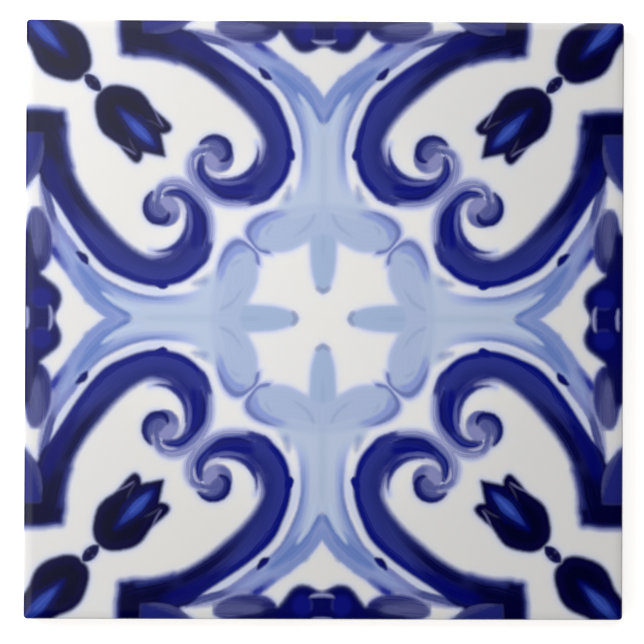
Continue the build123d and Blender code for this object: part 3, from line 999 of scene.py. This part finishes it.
def outline_loop(xs, ys, reach, inset, radius):
    """The grid's border carried out to that outline: clockwise from the top left corner, seen from above."""
    along_x, out_x = around(xs, reach, inset, radius)
    along_y, out_y = around(ys, reach, inset, radius)
    top = np.stack([along_x, out_x], 1)
    right = np.stack([out_y, along_y], 1)[::-1][1:]
    bottom = np.stack([along_x, -out_x], 1)[::-1][1:]
    left = np.stack([-out_y, along_y], 1)[1:-1]
    return np.vstack([top, right, bottom, left])


def swell(x, y):
    """The glaze's slow rise and fall over the face, from -1 to 1."""
    return sum(np.sin(a * x + b * y + c) for a, b, c in SWELL_WAVES) / len(SWELL_WAVES)


def coat_geometry(settings):
    """The coat's points (mm), faces, the first face of its inside, and UV places for its outside and its
    inside.
    """
    rings = coat_profile(settings.run_down / MM)
    proud = settings.thickness / MM
    reach = HALF_SIDE - rings[0][0]
    middle_x, middle_y = TRANSFER_PLACE[0] * UNIT, TRANSFER_PLACE[1] * UNIT
    xs = grid_lines(middle_x, reach, 1.0)
    ys = grid_lines(middle_y, reach, TALL_STRETCH)
    columns, rows = len(xs), len(ys)
    grid_x, grid_y = np.meshgrid(xs, ys)
    points = [np.stack([grid_x.ravel(), grid_y.ravel(), np.full(grid_x.size, THICKNESS + proud)], 1)]
    uvs = [points[0][:, :2]]

    column, row = np.meshgrid(np.arange(columns - 1), np.arange(rows - 1))
    corner = (row * columns + column).ravel()
    a, b, c, d = corner, corner + 1, corner + columns + 1, corner + columns
    # Each cell is cut along the pattern's own diagonal direction, so that the fold falls on cell edges
    side_x, side_y = xs[:-1] + xs[1:] - 2 * middle_x, ys[:-1] + ys[1:] - 2 * middle_y
    rising = (side_x[None] * side_y[:, None] > 0).reshape(-1, 1)
    first = np.where(rising, np.stack([a, b, c], 1), np.stack([a, b, d], 1))
    second = np.where(rising, np.stack([a, c, d], 1), np.stack([b, c, d], 1))
    faces = first.tolist() + second.tolist()

    index = np.arange(columns * rows).reshape(rows, columns)
    border = np.concatenate([index[-1], index[::-1, -1][1:], index[0, ::-1][1:], index[1:-1, 0]])
    around_count = len(border)
    travelled = 0.0
    previous_ring = rings[0]
    previous = border
    inner_faces_from = None
    lip = rings[-1][1]
    # Past the lip the coat rolls under, then comes back inside the body beneath the face (True)
    rolled = [
        (0.0, lip - 0.16, 0.9, -0.1, False), (0.03, lip - 0.24, -0.2, -0.6, False),
        (0.10, lip - 0.1, -1.0, 0.0, True), (0.22, THICKNESS - 0.95, -1.0, 0.0, True),
        (0.75, THICKNESS - 0.42, 0.0, -1.0, True),
        (CUSHION_WIDTH + 0.6, THICKNESS - INNER_DEPTH - proud, 0.0, 0.0, True),
    ]
    count = columns * rows
    for inset, height, out, up, inner in [(*ring, False) for ring in rings[1:]] + rolled:
        turned = (rings[0][0] - inset) / (rings[0][0] - CUSHION_WIDTH)
        radius = CORNER_RADIUS * min(1.0, max(0.0, turned))
        if inset < ARRIS_RADIUS and not inner:
            radius = CORNER_RADIUS - inset
        loop = outline_loop(xs, ys, reach, inset - proud * out, radius)
        below = THICKNESS - height
        wave = LIP_WAVE * swell(3 * loop[:, 0], 3 * loop[:, 1])
        wave = wave * np.clip((below - LIP_WAVE_FROM) / LIP_WAVE_RUN, 0, 1)
        points.append(np.stack([loop[:, 0], loop[:, 1], height + proud * up + wave], 1))
        travelled += np.hypot(inset - previous_ring[0], height - previous_ring[1])
        previous_ring = (inset, height)
        if inner:
            uvs.append(loop)
        else:
            uvs.append(outline_loop(xs, ys, reach, rings[0][0] - travelled, 0.6 * travelled))
            farthest = travelled
        current = np.arange(count, count + around_count)
        count += around_count
        if inner and inner_faces_from is None:
            inner_faces_from = len(faces)
        faces += np.stack([previous, np.roll(previous, -1), np.roll(current, -1), current], 1).tolist()
        previous = current
    faces.append(previous.tolist())
    span = reach + farthest
    flat = np.vstack(uvs)
    main = 0.5 * UV_FILL * (1 + flat / span)
    spare = UV_FILL + UV_GAP + 0.5 * (UV_EDGE - UV_FILL) * (1 + flat / (span + 2))
    return np.vstack(points), faces, inner_faces_from, main, spare


# How far below the face the coat is still painted, and how far its unevenness reaches, in mm
PAINTED_DOWN = 4.0
UNEVEN_DOWN = 0.3
# Wet colour stands proud by this share of the unevenness, from this many cartoon units inside its edge
WET_RISE = 0.8
WET_RISE_RUN = 4
GLAZE_CLOUDS = 38.0
GLAZE_GRAIN = 420.0
GLAZE_SEED = 3.0
# The tints of the bare white: how much of each at most, and its shade
CLOUD_TINT = (0.5, (231, 232, 236))
GRAIN_TINT = (0.25, (238, 232, 228))
# The bluish bleed round wet colour: from how far out to how far in (cartoon units), how much, and its shade
BLEEDS = ((-11.0, -1.0, 0.5, (222, 226, 242)), (-5.5, 1.0, 0.85, (184, 194, 238)))
# Below the face in mm: where the painting runs out, and where the glaze thins to the body's colour
SPILL = (0.5, 1.7)
THINNING = (2.1, 2.75, 0.0, 0.8)
THIN_SHADE = (206, 184, 158)
GLOSS = (0.10, 0.17)


class TILE_OT_glaze_face(bpy.types.Operator):
    """Lays the tin glaze over the face and edges and paints it"""

    bl_idname = "tile.glaze_face"
    bl_label = "Glaze and paint the face"

    def execute(self, context):
        settings = context.scene.tile_glaze
        points, faces, inner_from, main, spare = coat_geometry(settings)
        mesh = bpy.data.meshes.new("glaze_coat")
        mesh.from_pydata(points * MM, [], faces)
        x, y, height = points.T
        below = THICKNESS + settings.thickness / MM - height
        bleed = paint_fields(mesh, x, y, below < PAINTED_DOWN)
        point_values(mesh, "below_face", below)
        relief = settings.unevenness / MM * (swell(x, y) + WET_RISE * np.clip(bleed / WET_RISE_RUN, 0, 1))
        points[:, 2] += relief * np.clip(1 - below / UNEVEN_DOWN, 0, 1)
        mesh.vertices.foreach_set("co", (points * MM).ravel())

        owners = np.empty(len(mesh.loops), np.int32)
        mesh.loops.foreach_get("vertex_index", owners)
        starts = np.empty(len(mesh.polygons), np.int32)
        mesh.polygons.foreach_get("loop_start", starts)
        uv = main[owners]
        uv[starts[inner_from]:] = spare[owners[starts[inner_from]:]]
        mesh.uv_layers.new(name="OFBake").data.foreach_set("uv", uv.ravel())
        mesh.polygons.foreach_set("use_smooth", np.ones(len(mesh.polygons), bool))
        mesh.update()

        coat = bpy.data.objects.new("glaze_coat", mesh)
        context.scene.collection.objects.link(coat)
        mesh.materials.append(self.glaze_material(settings))
        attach(coat, "root")
        return {"FINISHED"}

    def glaze_material(self, settings):
        """Glossy tin white under the brushwork, thinning to the body at its lip."""
        material = bpy.data.materials.new("tin_glaze")
        tree = fresh_tree(material)
        kiln = add(tree, "ShaderNodeGroup", (-1600, 0), node_tree=bpy.data.node_groups["Kiln mottling"])
        kiln.inputs["Cloud size"].default_value = GLAZE_CLOUDS
        kiln.inputs["Grain size"].default_value = GLAZE_GRAIN
        kiln.inputs["Seed"].default_value = GLAZE_SEED
        white = shade_of(settings.white)
        most, shade = CLOUD_TINT
        tint = maths(tree, "MULTIPLY", kiln.outputs["Cloud"], most)
        ground = blend_colour(tree, tint, white, shade_of(linear(shade)), (-1300, 0))
        most, shade = GRAIN_TINT
        tint = spread(tree, kiln.outputs["Grain"], 0.35, 0.65, 0.0, most, place=(-1300, -200))
        ground = blend_colour(tree, tint, ground, shade_of(linear(shade)), (-1100, 0))
        wet = add(tree, "ShaderNodeAttribute", (-1300, -400), attribute_name="bleed").outputs["Fac"]
        for step, (outer, inner, most, shade) in enumerate(BLEEDS):
            stain = spread(tree, wet, outer, inner, 0.0, most, place=(-1100, -400 - 200 * step))
            ground = blend_colour(tree, stain, ground, shade_of(linear(shade)), (-900 + 200 * step, 0))
        painted = lay_strokes(tree, ground, settings.blue_strength)
        right = NODE_GAP * len(STROKES) + 200
        below = add(tree, "ShaderNodeAttribute", (right, -500), attribute_name="below_face").outputs["Fac"]
        spill = spread(tree, below, *SPILL, place=(right, -300))
        colour = blend_colour(tree, spill, painted, white, (right + 200, 0))
        thin = spread(tree, below, *THINNING, place=(right + 200, -300))
        colour = blend_colour(tree, thin, colour, shade_of(linear(THIN_SHADE)), (right + 400, 0))
        gloss = spread(tree, kiln.outputs["Cloud"], 0.0, 1.0, *GLOSS, place=(right + 400, -300))
        bump = {"Height": kiln.outputs["Grain"], "Strength": 0.25, "Distance": 0.02 * MM}
        bump = add(tree, "ShaderNodeBump", (right + 400, -600), bump)
        shader = add(
            tree, "ShaderNodeBsdfPrincipled", (right + 700, 0),
            {"Base Color": colour, "Roughness": gloss, "Normal": bump.outputs["Normal"]},
        )
        add(tree, "ShaderNodeOutputMaterial", (right + 1000, 0), {"Surface": shader.outputs[0]})
        return material


# The stage

LENS = 120.0
SENSOR = 36.0
CAMERA_PLACE = (-0.008035, -0.004618, 0.5527)
CAMERA_AIM = (-0.000672, -0.00052, 0.0062)
CAMERA_ROLL = -0.241
FLOOR_SIZE = 3.0
KEY_PLACE = (-0.30, 0.17, 0.34)
KEY_SIZE = 0.22
FLOOR_GAP = 0.02 * MM
FLOOR_CLOUDS = 0.06
FLOOR_CLOUD_SHADE = (0.76, 0.76, 0.76, 1)
FLOOR_GLOW = 0.70
# Where the studio's white horizon ends, by the direction's height, and where its softbox starts and ends,
# by how far the direction leans towards it
HORIZON = (0.2, 0.45)
SOFTBOX_TOWARDS = (-0.8, 0.55)
SOFTBOX_NEAR = (-0.03, 0.19)
SOFTBOX_FAR = (0.45, 0.6)


def aimed(place, aim, up):
    """The matrix of a camera or lamp at a place, looking at its aim."""
    place, aim = Vector(place), Vector(aim)
    forward = (aim - place).normalized()
    right = forward.cross(Vector(up)).normalized()
    top = right.cross(forward)
    turn = Matrix((right, top, -forward)).transposed()
    return Matrix.Translation(place) @ turn.to_4x4()


def soft_lamp(scene, name, place, aim, size, power):
    """A square soft lamp aimed at the tile."""
    data = bpy.data.lights.new(name, "AREA")
    data.shape = "SQUARE"
    data.size = size
    data.energy = power
    lamp = bpy.data.objects.new(name, data)
    lamp.matrix_world = aimed(place, aim, (0, 1, 0.01))
    lamp.visible_camera = False
    lamp.visible_glossy = False
    scene.collection.objects.link(lamp)


class TILE_OT_set_stage(bpy.types.Operator):
    """Sets the tile on a white floor, lights it and places the camera over it"""

    bl_idname = "tile.set_stage"
    bl_label = "Set the stage"

    def execute(self, context):
        scene = context.scene
        settings = scene.tile_stage
        self.lay_floor(scene, settings)
        self.fill_studio(scene, settings)
        soft_lamp(scene, "key_lamp", KEY_PLACE, (0, 0, 0), KEY_SIZE, settings.key_power)

        data = bpy.data.cameras.new("camera")
        data.lens = LENS
        data.sensor_width = SENSOR
        data.clip_start = 0.01
        camera = bpy.data.objects.new("camera", data)
        roll = radians(CAMERA_ROLL)
        camera.matrix_world = aimed(CAMERA_PLACE, CAMERA_AIM, (sin(roll), cos(roll), 0))
        scene.collection.objects.link(camera)
        scene.camera = camera
        scene.view_settings.view_transform = "Standard"
        return {"FINISHED"}

    def lay_floor(self, scene, settings):
        """A plain white floor that the camera sees as white paper, with the tile's shadow on it."""
        half = FLOOR_SIZE / 2
        mesh = bpy.data.meshes.new("floor")
        corners = [(-half, -half, 0), (half, -half, 0), (half, half, 0), (-half, half, 0)]
        mesh.from_pydata(corners, [], [(0, 1, 2, 3)])
        floor = bpy.data.objects.new("floor", mesh)
        floor.location.z = -FLOOR_GAP
        scene.collection.objects.link(floor)
        material = bpy.data.materials.new("floor")
        tree = fresh_tree(material)
        kiln = add(tree, "ShaderNodeGroup", (-700, 0), node_tree=bpy.data.node_groups["Kiln mottling"])
        clouds = maths(tree, "MULTIPLY", kiln.outputs["Cloud"], FLOOR_CLOUDS)
        tone = blend_colour(tree, clouds, shade_of(settings.floor), FLOOR_CLOUD_SHADE, (-400, 0))
        shader = add(tree, "ShaderNodeBsdfPrincipled", (-150, 0), {"Base Color": tone, "Roughness": 0.9})
        seen = add(tree, "ShaderNodeLightPath", (-400, -400)).outputs["Is Camera Ray"]
        shader.inputs["Emission Color"].default_value = WHITE
        glow = maths(tree, "MULTIPLY", seen, FLOOR_GLOW, place=(-200, -400))
        tree.links.new(glow, shader.inputs["Emission Strength"])
        add(tree, "ShaderNodeOutputMaterial", (150, 0), {"Surface": shader.outputs[0]})
        mesh.materials.append(material)

    def fill_studio(self, scene, settings):
        """A studio that is white at the horizon and dim overhead, with a softbox at the upper left."""
        world = bpy.data.worlds.new("studio")
        world.use_nodes = True
        tree = world.node_tree
        tree.nodes.clear()
        direction = add(tree, "ShaderNodeTexCoord", (-1100, 0)).outputs["Generated"]
        parts = add(tree, "ShaderNodeSeparateXYZ", (-900, 0), {0: direction}).outputs
        horizon = spread(tree, parts[2], *HORIZON, 1.0, 0.0, place=(-700, 200))
        lean = maths(tree, "MULTIPLY", parts[0], SOFTBOX_TOWARDS[0], place=(-700, 0))
        lean = maths(tree, "MULTIPLY_ADD", parts[1], SOFTBOX_TOWARDS[1], lean, place=(-500, 0))
        box = spread(tree, lean, *SOFTBOX_NEAR, place=(-300, 0))
        past = spread(tree, lean, *SOFTBOX_FAR, 1.0, 0.0, place=(-300, -200))
        box = maths(tree, "MULTIPLY", box, past, place=(-100, 0))
        box = maths(tree, "MULTIPLY", box, settings.softbox, place=(100, 0))
        studio = add(tree, "ShaderNodeMix", (300, 0), data_type="FLOAT")
        for index, value in ((0, horizon), (2, box)):
            tree.links.new(value, studio.inputs[index])
        studio.inputs[3].default_value = 1.0
        seen = add(tree, "ShaderNodeLightPath", (300, 300)).outputs["Is Camera Ray"]
        strength = maths(tree, "MAXIMUM", studio.outputs[0], seen, place=(500, 0))
        light = add(tree, "ShaderNodeBackground", (700, 0), {"Color": WHITE, "Strength": strength})
        add(tree, "ShaderNodeOutputWorld", (900, 0), {"Surface": light.outputs[0]})
        scene.world = world


# Panel and registration


class TILE_PT_workshop(bpy.types.Panel):
    """The tile's pieces and their settings"""

    bl_label = "Majolica tile"
    bl_idname = "TILE_PT_workshop"
    bl_space_type = "VIEW_3D"
    bl_region_type = "UI"
    bl_category = "Tile"

    def draw(self, context):
        for label, settings, action in (
            ("Body", context.scene.tile_body, TILE_OT_fire_body),
            ("Glaze", context.scene.tile_glaze, TILE_OT_glaze_face),
            ("Stage", context.scene.tile_stage, TILE_OT_set_stage),
        ):
            box = self.layout.box()
            box.label(text=label)
            for name in settings.__annotations__:
                box.prop(settings, name)
            box.operator(action.bl_idname)


CLASSES = (
    TileBodySettings, TileGlazeSettings, TileStageSettings,
    TILE_OT_fire_body, TILE_OT_glaze_face, TILE_OT_set_stage, TILE_PT_workshop,
)


def register():
    for item in CLASSES:
        bpy.utils.register_class(item)
    bpy.types.Scene.tile_body = PointerProperty(type=TileBodySettings)
    bpy.types.Scene.tile_glaze = PointerProperty(type=TileGlazeSettings)
    bpy.types.Scene.tile_stage = PointerProperty(type=TileStageSettings)


def unregister():
    del bpy.types.Scene.tile_body, bpy.types.Scene.tile_glaze, bpy.types.Scene.tile_stage
    for item in reversed(CLASSES):
        bpy.utils.unregister_class(item)


def main():
    """Makes the tile's pieces and its stage."""
    register()
    bpy.ops.tile.fire_body()
    bpy.ops.tile.glaze_face()
    bpy.ops.tile.set_stage()
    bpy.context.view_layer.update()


if __name__ == "__main__":
    main()
